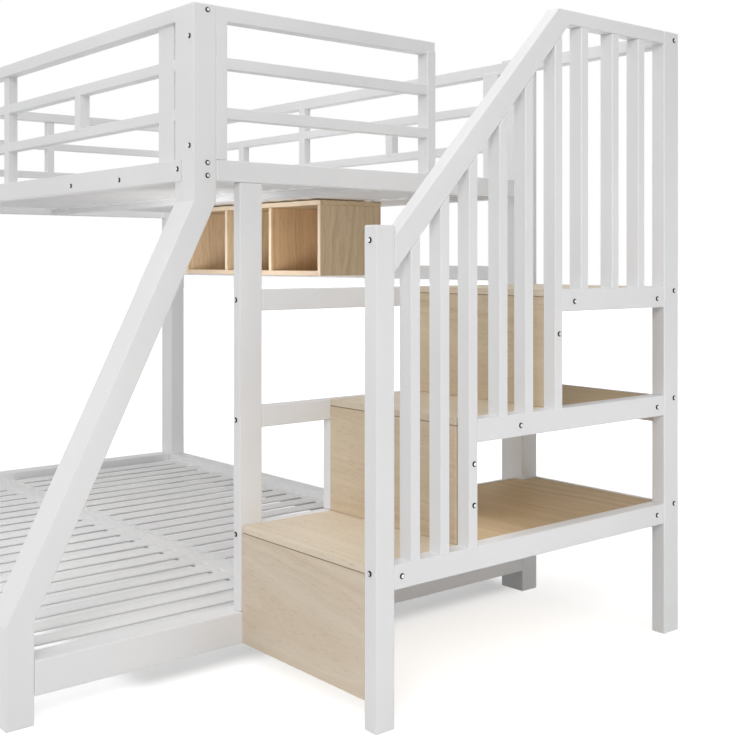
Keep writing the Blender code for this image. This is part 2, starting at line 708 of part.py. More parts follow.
def make_storage(group):
    """Storage boards behind the risers, cut out round the bed's post, each held down by a flat rim."""
    x_bar = X_END - END_BAR_THICKNESS
    x_side = X_SIDE_INNER - FIT
    x_post = X_END + FIT
    y_post = Y_BACK - POST_DEPTH - FIT
    y_far = Y_BACK - STORAGE_SETBACK
    for level, riser, step_top in storage_levels():
        y_near = riser + BOARD_THICKNESS + FIT
        outer = (
            (x_bar, y_near),
            (x_side, y_near),
            (x_side, y_far),
            (x_post, y_far),
            (x_post, y_post),
            (x_bar, y_post),
        )
        inner = (
            (x_bar + RIM_WIDTH, y_near + RIM_WIDTH),
            (x_side - RIM_WIDTH, y_near + RIM_WIDTH),
            (x_side - RIM_WIDTH, y_far - RIM_WIDTH),
            (x_post + RIM_WIDTH, y_far - RIM_WIDTH),
            (x_post + RIM_WIDTH, y_post - RIM_WIDTH),
            (x_bar + RIM_WIDTH, y_post - RIM_WIDTH),
        )
        name = f"storage_board_{level}"
        mesh = flat_outline(name, [outer], STORAGE_BOARD_THICKNESS)
        z_board = storage_seat(step_top) + FIT + STORAGE_BOARD_THICKNESS / 2
        ease_edges(make_object(name, mesh, stair_oak, group, (0, 0, z_board)), BOARD_EDGE)
        name = f"storage_rim_{level}"
        mesh = flat_outline(name, [outer, inner], RIM_THICKNESS)
        z_rim = step_top - RIM_DROP - RIM_THICKNESS / 2
        make_object(name, mesh, frame_white, group, (0, 0, z_rim))


def make_shelf(group):
    """Open shelf: its top runs over its sides, and its bottom lies between them."""
    x_high = X_END - SHELF_START
    x_low = x_high - SHELF_WIDTH
    y_back = Y_BACK - UPPER_RAIL_THICKNESS - FIT
    y_front = y_back - SHELF_DEPTH
    y_all = (y_front, y_back)
    y_inside = (y_front, y_back - SHELF_BACK_THICKNESS - FIT)
    thick = BOARD_THICKNESS
    z_side = (SHELF_BOTTOM, SHELF_TOP - thick - FIT)
    z_top = (SHELF_TOP - thick, SHELF_TOP)
    board("shelf_top", (x_low, x_high), y_all, z_top, shelf_oak, group)
    board("shelf_side_left", (x_low, x_low + thick), y_all, z_side, shelf_oak, group)
    board("shelf_side_right", (x_high - thick, x_high), y_all, z_side, shelf_oak, group)
    x_inside = (x_low + thick + FIT, x_high - thick - FIT)
    z_bottom = (SHELF_BOTTOM, SHELF_BOTTOM + thick)
    board("shelf_bottom", x_inside, y_inside, z_bottom, shelf_oak, group)
    z_divider = (z_bottom[1] + FIT, z_side[1])
    pitch = (SHELF_WIDTH - thick) / SHELF_BAYS
    for index in range(1, SHELF_BAYS):
        x_right = x_high - index * pitch
        x = (x_right - thick, x_right)
        board(f"shelf_divider_{index}", x, y_inside, z_divider, shelf_oak, group)
    y_panel = (y_back - SHELF_BACK_THICKNESS, y_back)
    board("shelf_back", x_inside, y_panel, z_side, shelf_oak, group)


for old in list(bpy.data.objects):
    bpy.data.objects.remove(old)

parts = make_collection("metal_bunk_bed")
helpers = make_collection("weld_helpers")
frame_white = make_material("frame_white", "#E3E3E2", 0.42)
slat_white = make_material("slat_white", "#DCDCDB", 0.42)
stair_oak = make_material("stair_oak", "#D2C3AC", 0.55)
shelf_oak = make_material("shelf_oak", "#C2AB88", 0.55)

bed = make_group("bed_frame")
make_posts(bed)
make_lower_rails(bed)
make_upper_rails(bed)
make_decks(bed)
guards = make_group("upper_guards")
make_guards(guards)
stair = make_group("storage_stair")
make_end_frame(stair)
make_stair_posts(stair)
make_handrail(stair)
make_side_frame(stair)
make_stair_back(stair)
make_steps(stair)
make_storage(stair)
shelf = make_group("open_shelf")
make_shelf(shelf)
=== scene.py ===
"""Finishes, bolts, light and camera for the metal bunk bed with its storage stair.

Metres, +Z up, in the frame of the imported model: the bed's length runs along X, its stair is at +X
and its open front faces -Y.
"""

import math

import bmesh
import bpy
from mathutils import Euler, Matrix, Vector


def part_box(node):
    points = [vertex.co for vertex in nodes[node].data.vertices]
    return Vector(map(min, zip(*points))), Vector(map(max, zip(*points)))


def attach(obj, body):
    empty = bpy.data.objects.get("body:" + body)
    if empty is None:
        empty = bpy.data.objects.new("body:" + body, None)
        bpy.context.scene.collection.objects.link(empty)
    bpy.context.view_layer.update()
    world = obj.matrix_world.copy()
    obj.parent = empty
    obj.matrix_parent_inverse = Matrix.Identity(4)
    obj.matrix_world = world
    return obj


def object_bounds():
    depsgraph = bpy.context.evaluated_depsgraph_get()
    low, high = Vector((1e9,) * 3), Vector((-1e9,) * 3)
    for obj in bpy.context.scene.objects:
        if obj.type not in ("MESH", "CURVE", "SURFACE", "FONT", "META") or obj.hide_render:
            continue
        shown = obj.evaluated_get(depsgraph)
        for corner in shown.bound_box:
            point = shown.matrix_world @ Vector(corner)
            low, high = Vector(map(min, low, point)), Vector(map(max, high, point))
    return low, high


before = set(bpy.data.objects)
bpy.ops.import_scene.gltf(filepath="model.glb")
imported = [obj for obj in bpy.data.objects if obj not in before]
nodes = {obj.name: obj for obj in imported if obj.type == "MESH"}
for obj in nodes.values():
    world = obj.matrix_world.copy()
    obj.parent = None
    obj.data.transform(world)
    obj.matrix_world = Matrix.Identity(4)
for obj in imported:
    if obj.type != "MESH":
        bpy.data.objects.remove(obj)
cad_low, cad_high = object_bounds()


def srgb(code):
    """Linear colour of a hex code."""
    parts = [int(code[i : i + 2], 16) / 255 for i in (1, 3, 5)]
    return (*[c / 12.92 if c <= 0.04045 else ((c + 0.055) / 1.055) ** 2.4 for c in parts], 1.0)


def add_node(tree, kind, inputs=None, **settings):
    """One node with its settings. An input takes a value, or the socket that feeds it."""
    node = tree.nodes.new(kind)
    for name, value in settings.items():
        setattr(node, name, value)
    for key, value in (inputs or {}).items():
        if isinstance(value, bpy.types.NodeSocket):
            tree.links.new(value, node.inputs[key])
        else:
            node.inputs[key].default_value = value
    return node


def new_material(name):
    """An empty material and its node tree."""
    material = bpy.data.materials.new(name)
    material.use_nodes = True
    material.node_tree.nodes.clear()
    return material, material.node_tree


def shade(tree, inputs):
    """Ends a material in one surface shader with the given inputs."""
    surface = add_node(tree, "ShaderNodeBsdfPrincipled", inputs)
    add_node(tree, "ShaderNodeOutputMaterial", {"Surface": surface.outputs[0]})


def set_ramp(ramp_node, stops):
    """Colour stops of a ramp: pairs of place and hex code or grey value."""
    ramp = ramp_node.color_ramp
    while len(ramp.elements) < len(stops):
        ramp.elements.new(0.5)
    for element, (place, tone) in zip(ramp.elements, stops):
        element.position = place
        element.color = srgb(tone) if isinstance(tone, str) else (tone, tone, tone, 1)


# Powder-coated steel. Its patterns are given in repeats per metre.

SPRAY_DRIFT = 2.2
ORANGE_PEEL = 250.0
HANDLED_PATCHES = 16.0


def powder_coated_steel(name, light, dark, roughness, sheen=0.4):
    """Steel tube under a white baked powder coat: satin, with a faint orange peel and a slow drift.

    sheen scales its mirror-like reflection, and 0.5 leaves it as its refractive index gives it.
    """
    material, tree = new_material(name)
    place = add_node(tree, "ShaderNodeTexCoord").outputs["Object"]
    # The coat's tone drifts over about half a metre, as the spray passes overlap.
    drift = add_node(
        tree,
        "ShaderNodeTexNoise",
        {"Vector": place, "Scale": SPRAY_DRIFT, "Detail": 2.0, "Roughness": 0.5},
    )
    tone = add_node(tree, "ShaderNodeValToRGB", {"Fac": drift.outputs[0]})
    set_ramp(tone, ((0.35, dark), (0.65, light)))
    # Orange peel has waves of about 1.5 mm. They are drawn 4 mm wide, so that they show at all.
    peel = add_node(
        tree,
        "ShaderNodeTexNoise",
        {"Vector": place, "Scale": ORANGE_PEEL, "Detail": 1.5, "Roughness": 0.45},
    )
    bump = add_node(
        tree, "ShaderNodeBump", {"Height": peel.outputs[0], "Strength": 0.10, "Distance": 0.0006}
    )
    # Handling leaves patches of 60 mm a little smoother than the rest.
    handled = add_node(
        tree,
        "ShaderNodeTexNoise",
        {"Vector": place, "Scale": HANDLED_PATCHES, "Detail": 3.0, "Roughness": 0.55},
    )
    gloss = add_node(
        tree,
        "ShaderNodeMapRange",
        {
            "Value": handled.outputs[0],
            "From Min": 0.3,
            "From Max": 0.7,
            "To Min": roughness - 0.05,
            "To Max": roughness + 0.06,
        },
    )
    shade(
        tree,
        {
            "Base Color": tone.outputs[0],
            "Roughness": gloss.outputs[0],
            "IOR": 1.5,
            "Specular IOR Level": sheen,
            "Normal": bump.outputs[0],
        },
    )
    return material


# Oak-faced board. Its patterns are given in repeats per metre, along the grain and across it.

RING_DRIFT = (2.6, 9.0, 9.0)
FIBRES = (16.0, 170.0, 170.0)
PORES = (34.0, 460.0, 460.0)
RING_WANDER = 0.05
PORE_CROWDING = 0.06
PORE_STRENGTH = 0.2
PORE_COLOUR = "#7A6248"
# Painted shade: the dark band along the top of each riser, below the board on top
SEAM_SHADE_COLOUR = "#A08B72"
BAND_SHOW_THROUGH = 0.10
FIBRE_RELIEF = 0.35
BOARD_SHEEN = 0.35
# At full contrast the light and dark tones lie this far either side of the mean grain.
TONE_REACH = 0.38
# A face looks forwards where the Y of its normal is below this.
FACES_FORWARDS = -0.9


def grain_streaks(tree, place, repeats, detail, roughness):
    """Noise drawn out along the grain."""
    stretched = add_node(tree, "ShaderNodeVectorMath", {0: place, 1: repeats}, operation="MULTIPLY")
    streaks = add_node(
        tree,
        "ShaderNodeTexNoise",
        {"Vector": stretched.outputs[0], "Scale": 1.0, "Detail": detail, "Roughness": roughness},
    )
    return streaks.outputs[0]


def growth_rings(tree, place, ring):
    """Growth rings round the grain's own axis, ring metres wide on average, as greys."""
    # The trunk leans and swells: rings wander by about 20 mm over 300 mm of length.
    wander = grain_streaks(tree, place, RING_DRIFT, 3.0, 0.55)
    across = add_node(
        tree, "ShaderNodeVectorMath", {0: place, 1: (0.0, 1.0, 1.0)}, operation="MULTIPLY"
    )
    radius = add_node(tree, "ShaderNodeVectorMath", {0: across.outputs[0]}, operation="LENGTH")
    swell = add_node(
        tree,
        "ShaderNodeMath",
        {0: wander, 1: RING_WANDER, 2: radius.outputs["Value"]},
        operation="MULTIPLY_ADD",
    )
    count = add_node(
        tree, "ShaderNodeMath", {0: swell.outputs[0], 1: 1.0 / ring}, operation="MULTIPLY"
    )
    rings = add_node(
        tree,
        "ShaderNodeTexNoise",
        {"W": count.outputs[0], "Scale": 1.0, "Detail": 4.0, "Roughness": 0.6},
        noise_dimensions="1D",
    )
    greys = add_node(tree, "ShaderNodeValToRGB", {"Fac": rings.outputs[0]})
    set_ramp(greys, ((0.28, 0.0), (0.74, 1.0)))
    return greys.outputs[0]


def open_pores(tree, place, rings):
    """Open pores, crowded in the dark of the rings, as 1 in a pore and 0 outside."""
    # They are 0.3 mm wide and 8 mm long, and are drawn 2 mm wide and 30 mm long.
    spots = grain_streaks(tree, place, PORES, 1.0, 0.4)
    crowd = add_node(
        tree, "ShaderNodeMath", {0: rings, 1: PORE_CROWDING, 2: spots}, operation="MULTIPLY_ADD"
    )
    pore = add_node(
        tree,
        "ShaderNodeMapRange",
        {"Value": crowd.outputs[0], "From Min": 0.66, "From Max": 0.74},
    )
    return pore.outputs[0]


def banded_edge(tree, coords, face, body, edge):
    """The face's colour, with bands of the edge tone on the faces that look forwards."""
    facing = add_node(tree, "ShaderNodeSeparateXYZ", {0: coords.outputs["Normal"]})
    forwards = add_node(
        tree, "ShaderNodeMath", {0: facing.outputs["Y"], 1: FACES_FORWARDS}, operation="LESS_THAN"
    )
    banded = add_node(
        tree,
        "ShaderNodeMix",
        {"Factor": forwards.outputs[0], "A": face, "B": srgb(edge)},
        data_type="RGBA",
    )
    # A little of the grain shows on the band too.
    grained = add_node(
        tree,
        "ShaderNodeMix",
        {"Factor": BAND_SHOW_THROUGH, "A": banded.outputs["Result"], "B": body},
        data_type="RGBA",
    )
    return grained.outputs["Result"]


def shaded_seam(tree, coords, face, seam):
    """The face's colour, darker above the height where the board on top casts its shade."""
    height = add_node(tree, "ShaderNodeSeparateXYZ", {0: coords.outputs["Object"]})
    above = add_node(
        tree, "ShaderNodeMath", {0: height.outputs["Z"], 1: seam}, operation="GREATER_THAN"
    )
    shaded = add_node(
        tree,
        "ShaderNodeMix",
        {"Factor": above.outputs[0], "A": face, "B": srgb(SEAM_SHADE_COLOUR)},
        data_type="RGBA",
    )
    return shaded.outputs["Result"]


def oak_board(
    name, grain, light, dark, edge=None, seam=None, ring=0.022, contrast=0.8, sheen=BOARD_SHEEN
):
    """Chipboard faced with a printed oak grain, pressed matt: rings, fibres, pores, a banded edge.

    grain holds the point that the rings run round and the turn of the board's own grain, edge the
    tone of the bands on the faces that look forwards, seam the height above which the joint with
    the board on top lies in shade, ring the mean width of a growth ring, contrast how strongly the
    grain shows, and sheen the strength of the mirror-like reflection.
    """
    centre, turn = grain
    material, tree = new_material(name)
    coords = add_node(tree, "ShaderNodeTexCoord")
    along = add_node(
        tree,
        "ShaderNodeMapping",
        {"Vector": coords.outputs["Object"], "Location": centre, "Rotation": turn},
        vector_type="TEXTURE",
    ).outputs[0]
    rings = growth_rings(tree, along, ring)
    # Fibres are about 0.5 mm thick and are drawn 6 mm apart, so that they show as wavy streaks.
    fibres = grain_streaks(tree, along, FIBRES, 3.0, 0.6)
    grain_mix = add_node(
        tree, "ShaderNodeMix", {"Factor": 0.5, "A": rings, "B": fibres}, data_type="RGBA"
    )
    tone = add_node(
        tree,
        "ShaderNodeMapRange",
        {
            "Value": grain_mix.outputs["Result"],
            "From Min": 0.5 - TONE_REACH / contrast,
            "From Max": 0.5 + TONE_REACH / contrast,
        },
    )
    body = add_node(tree, "ShaderNodeValToRGB", {"Fac": tone.outputs[0]})
    set_ramp(body, ((0.0, light), (1.0, dark)))
    pore = open_pores(tree, along, rings)
    pore_share = add_node(
        tree, "ShaderNodeMath", {0: pore, 1: PORE_STRENGTH * contrast}, operation="MULTIPLY"
    )
    pored = add_node(
        tree,
        "ShaderNodeMix",
        {"Factor": pore_share.outputs[0], "A": body.outputs[0], "B": srgb(PORE_COLOUR)},
        data_type="RGBA",
    )
    colour = pored.outputs["Result"]
    if edge:
        colour = banded_edge(tree, coords, colour, body.outputs[0], edge)
    if seam:
        colour = shaded_seam(tree, coords, colour, seam)
    relief = add_node(
        tree, "ShaderNodeMath", {0: fibres, 1: FIBRE_RELIEF, 2: pore}, operation="MULTIPLY_ADD"
    )
    bump = add_node(
        tree,
        "ShaderNodeBump",
        {"Height": relief.outputs[0], "Strength": 0.12, "Distance": 0.0006},
        invert=True,
    )
    gloss = add_node(tree, "ShaderNodeMapRange", {"Value": pore, "To Min": 0.46, "To Max": 0.62})
    shade(
        tree,
        {
            "Base Color": colour,
            "Roughness": gloss.outputs[0],
            "IOR": 1.5,
            "Specular IOR Level": sheen,
            "Normal": bump.outputs[0],
        },
    )
    return material


# Plated steel for the bolts

ZINC_CLOUDS = 500.0


def plated_steel(name, light, dark, roughness):
    """Zinc-plated steel: bright and a little cloudy."""
    material, tree = new_material(name)
    place = add_node(tree, "ShaderNodeTexCoord").outputs["Object"]
    # Zinc crystals are under a millimetre wide and are drawn 2 mm wide.
    cloud = add_node(
        tree,
        "ShaderNodeTexNoise",
        {"Vector": place, "Scale": ZINC_CLOUDS, "Detail": 2.0, "Roughness": 0.5},
    )
    tone = add_node(tree, "ShaderNodeValToRGB", {"Fac": cloud.outputs[0]})
    set_ramp(tone, ((0.3, dark), (0.7, light)))
    gloss = add_node(
        tree,
        "ShaderNodeMapRange",
        {"Value": cloud.outputs[0], "To Min": roughness - 0.06, "To Max": roughness + 0.08},
    )
    shade(tree, {"Base Color": tone.outputs[0], "Metallic": 1.0, "Roughness": gloss.outputs[0]})
    return material


# The finish of each piece


def dress(name, material):
    """Gives a node its one material."""
    nodes[name].data.materials.clear()
    nodes[name].data.materials.append(material)


def ring_centre(name, offset):
    """The point that a board's rings run round, at an offset from the board's middle."""
    low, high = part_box(name)
    return tuple((low + high) / 2 + Vector(offset))


# A board's rings run round a line behind its face, and lean a little so that they close in arches.
LIE_FLAT = (0.0, math.radians(-3.2), 0.0)
STAND_ACROSS = (0.0, math.radians(2.2), math.radians(3.4))
STAND_UP = (0.0, math.radians(-90), 0.0)


def upright_turn(lean_x, lean_y):
    """Turn of a board whose grain stands up, with its rings leaning by the given angles."""
    lean = Euler((math.radians(lean_x), math.radians(lean_y), 0))
    return tuple((lean.to_matrix() @ Euler(STAND_UP).to_matrix()).to_euler())


# Each board of the stair: the offset of its rings, its turn, and its lightest and darkest tone
STAIR_BOARDS = {
    "tread_first": ((-0.16, 0.02, -0.055), LIE_FLAT, "#EFE3CE", "#DECDB4"),
    "tread_second": ((0.22, -0.03, -0.06), LIE_FLAT, "#E4D8C3", "#D3C3AA"),
    "landing": ((-0.1, 0.05, -0.05), LIE_FLAT, "#E4D8C3", "#D1BFA5"),
    "riser_first": ((-0.12, 0.060, -0.02), STAND_ACROSS, "#E8DAC6", "#D3C1A9"),
    "riser_second": ((0.18, 0.052, 0.03), STAND_ACROSS, "#E4D3BA", "#CDB99B"),
    "riser_third": ((-0.2, 0.058, -0.04), STAND_ACROSS, "#E0CFB4", "#C9B495"),
    "storage_board_low": ((0.15, -0.05, -0.06), LIE_FLAT, "#E4CFAC", "#CBB08A"),
    "storage_board_middle": ((-0.12, 0.03, -0.05), LIE_FLAT, "#E0C9A0", "#C6AB81"),
}
# Height of the band of painted shade along the top of each riser
SEAM_SHADE_HEIGHT = 0.0016
STORAGE_SHEEN = 0.02

for name, (offset, turn, light, dark) in STAIR_BOARDS.items():
    grain = (ring_centre(name, offset), turn)
    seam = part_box(name)[1].z - SEAM_SHADE_HEIGHT if name.startswith("riser") else None
    sheen = STORAGE_SHEEN if name.startswith("storage") else BOARD_SHEEN
    dress(name, oak_board(f"oak_faced_{name}", grain, light, dark, seam=seam, sheen=sheen))

# Each board of the shelf: the same, and the tone of its edge bands
SHELF_EDGE = "#ECD8BF"
# Painted light and shade in these tones: side_left is made lighter, shelf_back darker and more
# orange, and each divider is toned for the light in its bay.
SHELF_BOARDS = {
    "shelf_side_left": ((0.05, 0.02, 0.1), upright_turn(3, 0), "#FAE1BD", "#DBBE97", SHELF_EDGE),
    "shelf_side_right": (
        (-0.05, -0.03, -0.1), upright_turn(-3, 0), "#DCC6A4", "#BFA582", SHELF_EDGE
    ),
    "shelf_divider_1": ((0.05, 0.03, 0.08), upright_turn(3, 1), "#DEBF97", "#C1A079", SHELF_EDGE),
    "shelf_divider_2": (
        (0.06, -0.02, -0.08), upright_turn(-3, 1), "#E5CDAC", "#C8B088", SHELF_EDGE
    ),
    "shelf_back": ((0.04, 0.06, 0.05), upright_turn(0, 3), "#D0AA7F", "#AF865D", None),
    "shelf_top": ((0.2, 0.02, 0.05), LIE_FLAT, "#DCC6A4", "#BFA582", SHELF_EDGE),
    "shelf_bottom": ((-0.2, -0.02, -0.05), LIE_FLAT, "#DCC6A4", "#BFA582", "#DFC9B0"),
}
SHELF_RING = 0.012
SHELF_CONTRAST = 1.2

for name, (offset, turn, light, dark, edge) in SHELF_BOARDS.items():
    grain = (ring_centre(name, offset), turn)
    dress(
        name,
        oak_board(
            f"oak_faced_{name}", grain, light, dark, edge, ring=SHELF_RING, contrast=SHELF_CONTRAST
        ),
    )

# Every other piece is steel. The slats' coat is more matt than the frame's, and its whiter tone is
# painted light that brightens the decks where the lamps leave them too dark.
frame_coat = powder_coated_steel("steel_tube_white_powder_coat", "#F1F1F2", "#EBEBEC", 0.42)
slat_coat = powder_coated_steel("steel_slat_white_powder_coat", "#F6F6F6", "#F0F0F1", 0.62, 0.35)

for name in nodes:
    if name not in STAIR_BOARDS and name not in SHELF_BOARDS:
        is_slat = "slats" in name or "deck_beam" in name
        dress(name, slat_coat if is_slat else frame_coat)


# Bolts

BOLT_RADIUS = 0.0056
BOLT_HEIGHT = 0.0026
SOCKET_RADIUS = 0.0022
SOCKET_DEPTH = 0.0016
# A multiple of six, so that the socket's corners lie on lines from the axis to the head's own.
HEAD_SIDES = 18
# The head's upright wall as a share of its height, and its flat crown as a share of its width
WALL_SHARE = 0.35
CROWN_SHARE = 0.64
WELD_DISTANCE = 0.00001
SIXTH_TURN = math.tau / 6
# Radians that each bolt is turned further than the one before
TURN_BETWEEN_BOLTS = 0.7

bolt_plating = plated_steel("steel_bolt_bright_zinc", "#E4E4E2", "#C8C8C6", 0.34)
# Near-black finish for the heads' rims: painted shade for the hole that each head sits in.
rim_painted_shade = plated_steel("steel_bolt_rim_painted_shade", "#2C2B2A", "#1F1E1D", 0.55)


def add_inputs(tree, names):
    """Named inputs of a tree, all lengths, and its geometry in and out."""
    tree.interface.new_socket("Geometry", in_out="INPUT", socket_type="NodeSocketGeometry")
    for name in names:
        tree.interface.new_socket(name, in_out="INPUT", socket_type="NodeSocketFloat")
    tree.interface.new_socket("Geometry", in_out="OUTPUT", socket_type="NodeSocketGeometry")
    return add_node(tree, "NodeGroupInput")


def add_piece(tree, name, source, values):
    """Adds the plain mesh that a tree makes from a source mesh, as one piece of the bed."""
    carrier = bpy.data.objects.new(name + "_source", source)
    bpy.context.scene.collection.objects.link(carrier)
    modifier = carrier.modifiers.new("tree", "NODES")
    modifier.node_group = tree
    for item in tree.interface.items_tree:
        if item.in_out == "INPUT" and item.name in values:
            modifier[item.identifier] = values[item.name]
    bpy.context.view_layer.update()
    graph = bpy.context.evaluated_depsgraph_get()
    mesh = bpy.data.meshes.new_from_object(carrier.evaluated_get(graph))
    mesh.name = name
    bpy.data.objects.remove(carrier)
    piece = bpy.data.objects.new(name, mesh)
    bpy.context.scene.collection.objects.link(piece)
    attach(piece, "root")


def on_hexagon(tree, corner_radius, height):
    """Where each point goes when a ring round the axis is drawn in to a level regular hexagon."""
    # Each side of the hexagon lies a fixed distance from the axis, and a point on it lies further
    # out by one over the cosine of its angle from the middle of the side.
    place = add_node(tree, "GeometryNodeInputPosition").outputs[0]
    parts = add_node(tree, "ShaderNodeSeparateXYZ", {0: place})
    angle = add_node(
        tree, "ShaderNodeMath", {0: parts.outputs["Y"], 1: parts.outputs["X"]}, operation="ARCTAN2"
    )
    turned = add_node(tree, "ShaderNodeMath", {0: angle.outputs[0], 1: math.tau}, operation="ADD")
    in_sixth = add_node(
        tree, "ShaderNodeMath", {0: turned.outputs[0], 1: SIXTH_TURN}, operation="MODULO"
    )
    from_flat = add_node(
        tree, "ShaderNodeMath", {0: in_sixth.outputs[0], 1: SIXTH_TURN / 2}, operation="SUBTRACT"
    )
    cosine = add_node(tree, "ShaderNodeMath", {0: from_flat.outputs[0]}, operation="COSINE")
    flat = add_node(
        tree,
        "ShaderNodeMath",
        {0: corner_radius, 1: math.cos(SIXTH_TURN / 2)},
        operation="MULTIPLY",
    )
    reach = add_node(
        tree, "ShaderNodeMath", {0: flat.outputs[0], 1: cosine.outputs[0]}, operation="DIVIDE"
    )
    level = add_node(tree, "ShaderNodeVectorMath", {0: place, 1: (1, 1, 0)}, operation="MULTIPLY")
    outward = add_node(tree, "ShaderNodeVectorMath", {0: level.outputs[0]}, operation="NORMALIZE")
    corner = add_node(
        tree,
        "ShaderNodeVectorMath",
        {0: outward.outputs[0], "Scale": reach.outputs[0]},
        operation="SCALE",
    )
    lifted = add_node(tree, "ShaderNodeCombineXYZ", {"Z": height})
    target = add_node(
        tree, "ShaderNodeVectorMath", {0: corner.outputs[0], 1: lifted.outputs[0]}, operation="ADD"
    )
    return target.outputs[0]


def bolt_head(tree, given):
    """A domed head with a six-sided socket, its rim marked for painted shade."""
    disc = add_node(
        tree,
        "GeometryNodeMeshCircle",
        {"Vertices": HEAD_SIDES, "Radius": given.outputs["Head Radius"]},
        fill_type="NGON",
    )
    base = add_node(tree, "GeometryNodeFlipFaces", {"Mesh": disc.outputs[0]})
    height = given.outputs["Head Height"]
    wall_height, dome_height = (
        add_node(tree, "ShaderNodeMath", {0: height, 1: share}, operation="MULTIPLY").outputs[0]
        for share in (WALL_SHARE, 1 - WALL_SHARE)
    )
    wall = add_node(
        tree, "GeometryNodeExtrudeMesh", {"Mesh": disc.outputs[0], "Offset Scale": wall_height}
    )
    dome = add_node(
        tree,
        "GeometryNodeExtrudeMesh",
        {
            "Mesh": wall.outputs["Mesh"],
            "Selection": wall.outputs["Top"],
            "Offset Scale": dome_height,
        },
    )
    crown = add_node(
        tree,
        "GeometryNodeScaleElements",
        {
            "Geometry": dome.outputs["Mesh"],
            "Selection": dome.outputs["Top"],
            "Scale": CROWN_SHARE,
        },
    )
    mouth = add_node(
        tree,
        "GeometryNodeExtrudeMesh",
        {"Mesh": crown.outputs[0], "Selection": dome.outputs["Top"], "Offset Scale": 0.0},
    )
    hexed = add_node(
        tree,
        "GeometryNodeSetPosition",
        {
            "Geometry": mouth.outputs["Mesh"],
            "Selection": mouth.outputs["Top"],
            "Position": on_hexagon(tree, given.outputs["Socket Radius"], height),
        },
    )
    depth = add_node(
        tree, "ShaderNodeMath", {0: given.outputs["Socket Depth"], 1: -1.0}, operation="MULTIPLY"
    )
    socket = add_node(
        tree,
        "GeometryNodeExtrudeMesh",
        {
            "Mesh": hexed.outputs[0],
            "Selection": mouth.outputs["Top"],
            "Offset Scale": depth.outputs[0],
        },
    )
    # The head's wall and chamfer are marked for a near-black finish, painted shade standing in for
    # the hole that the head sits in; only its crown is bright plating.
    on_rim = add_node(
        tree,
        "FunctionNodeBooleanMath",
        {0: wall.outputs["Side"], 1: dome.outputs["Side"]},
        operation="OR",
    )
    marked = add_node(
        tree,
        "GeometryNodeStoreNamedAttribute",
        {"Geometry": socket.outputs["Mesh"], "Name": "painted_shade_rim", "Value": on_rim.outputs[0]},
        data_type="BOOLEAN",
        domain="FACE",
    )
    whole = add_node(tree, "GeometryNodeJoinGeometry")
    tree.links.new(marked.outputs[0], whole.inputs[0])
    tree.links.new(base.outputs[0], whole.inputs[0])
    return add_node(
        tree,
        "GeometryNodeMergeByDistance",
        {"Geometry": whole.outputs[0], "Distance": WELD_DISTANCE},
    )


def bolt_tree():
    """Socket-head bolts: a head on each point, turned to face outwards and spun about its axis."""
    tree = bpy.data.node_groups.new("socket_head_bolts", "GeometryNodeTree")
    given = add_inputs(tree, ("Head Radius", "Head Height", "Socket Radius", "Socket Depth"))
    head = bolt_head(tree, given)
    outwards = add_node(
        tree, "GeometryNodeInputNamedAttribute", {"Name": "outwards"}, data_type="FLOAT_VECTOR"
    )
    spin = add_node(tree, "GeometryNodeInputNamedAttribute", {"Name": "spin"}, data_type="FLOAT")
    painted_shade_rim = add_node(
        tree, "GeometryNodeInputNamedAttribute", {"Name": "painted_shade_rim"}, data_type="BOOLEAN"
    )
    faced = add_node(
        tree, "FunctionNodeAlignRotationToVector", {"Vector": outwards.outputs[0]}, axis="Z"
    )
    about_axis = add_node(
        tree, "FunctionNodeAxisAngleToRotation", {"Axis": (0, 0, 1), "Angle": spin.outputs[0]}
    )
    spun = add_node(
        tree,
        "FunctionNodeRotateRotation",
        {"Rotation": faced.outputs[0], "Rotate By": about_axis.outputs[0]},
        rotation_space="LOCAL",
    )
    points = add_node(tree, "GeometryNodeMeshToPoints", {"Mesh": given.outputs["Geometry"]})
    placed = add_node(
        tree,
        "GeometryNodeInstanceOnPoints",
        {"Points": points.outputs[0], "Instance": head.outputs[0], "Rotation": spun.outputs[0]},
    )
    real = add_node(tree, "GeometryNodeRealizeInstances", {"Geometry": placed.outputs[0]})
    plated = add_node(
        tree, "GeometryNodeSetMaterial", {"Geometry": real.outputs[0], "Material": bolt_plating}
    )
    rimmed = add_node(
        tree,
        "GeometryNodeSetMaterial",
        {
            "Geometry": plated.outputs[0],
            "Selection": painted_shade_rim.outputs[0],
            "Material": rim_painted_shade,
        },
    )
    add_node(tree, "NodeGroupOutput", {"Geometry": rimmed.outputs[0]})
    return tree


def add_bolts(name, places):
    """Adds bolts at the given points, each with the direction that its head faces."""
    mesh = bpy.data.meshes.new(name)
    mesh.from_pydata([place for place, _ in places], [], [])
    facing = mesh.attributes.new("outwards", "FLOAT_VECTOR", "POINT")
    facing.data.foreach_set("vector", [part for _, direction in places for part in direction])
    # Each bolt was tightened to an angle of its own.
    turned = mesh.attributes.new("spin", "FLOAT", "POINT")
    turned.data.foreach_set("value", [TURN_BETWEEN_BOLTS * index for index in range(len(places))])
    values = {
        "Head Radius": BOLT_RADIUS,
        "Head Height": BOLT_HEIGHT,
        "Socket Radius": SOCKET_RADIUS,
        "Socket Depth": SOCKET_DEPTH,
    }
    add_piece(bolt_heads, name, mesh, values)


bolt_heads = bolt_tree()

FRONT = (0, -1, 0)
STAIR_SIDE = (1, 0, 0)
FAR_SIDE = (-1, 0, 0)
# A head stands this far off the face below it, so that the two don't touch.
SEAT = 0.0001

